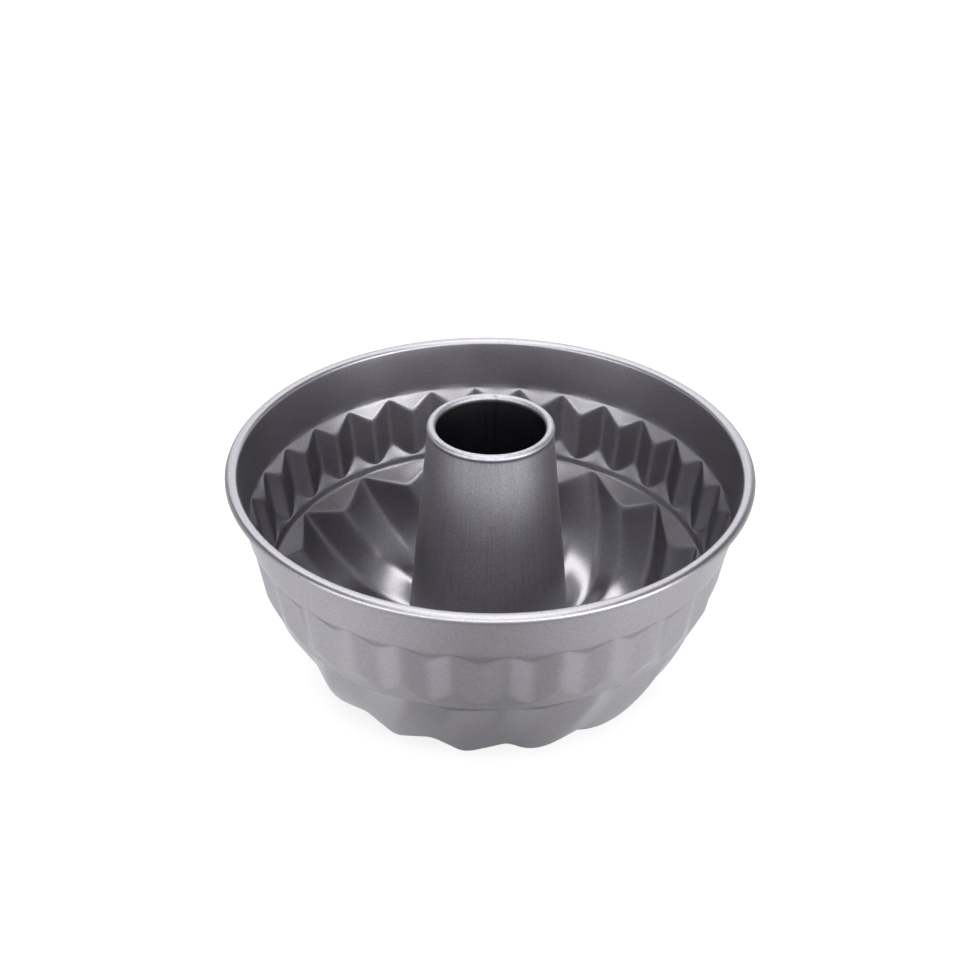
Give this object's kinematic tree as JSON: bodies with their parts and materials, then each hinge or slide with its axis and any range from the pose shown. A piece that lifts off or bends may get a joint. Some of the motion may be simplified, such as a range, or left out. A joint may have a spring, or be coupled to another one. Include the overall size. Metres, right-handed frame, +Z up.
{
  "type": "fluted tube pan",
  "caption": "Round baking pan with a pleated and swirled wall, a rolled rim and a tapered centre tube seamed to the bowl, for baking ring cakes.",
  "frame": {"origin": "on the pan's axis, in the plane of the table that its lobes stand on", "axes": "+Z up along the pan's axis, out of the open side; -Y to the front of the picture; the tube's lap seam faces +Y"},
  "size_m": [0.2218, 0.2218, 0.1242],
  "materials": {
    "bowl_coating": "satin grey metallic non-stick coating on pressed steel",
    "tube_coating": "satin grey metallic non-stick coating on rolled steel, with fine lines along the tube"
  },
  "bodies": {
    "root": {"bowl": "bowl_coating", "tube": "tube_coating"}
  },
  "joints": []
}
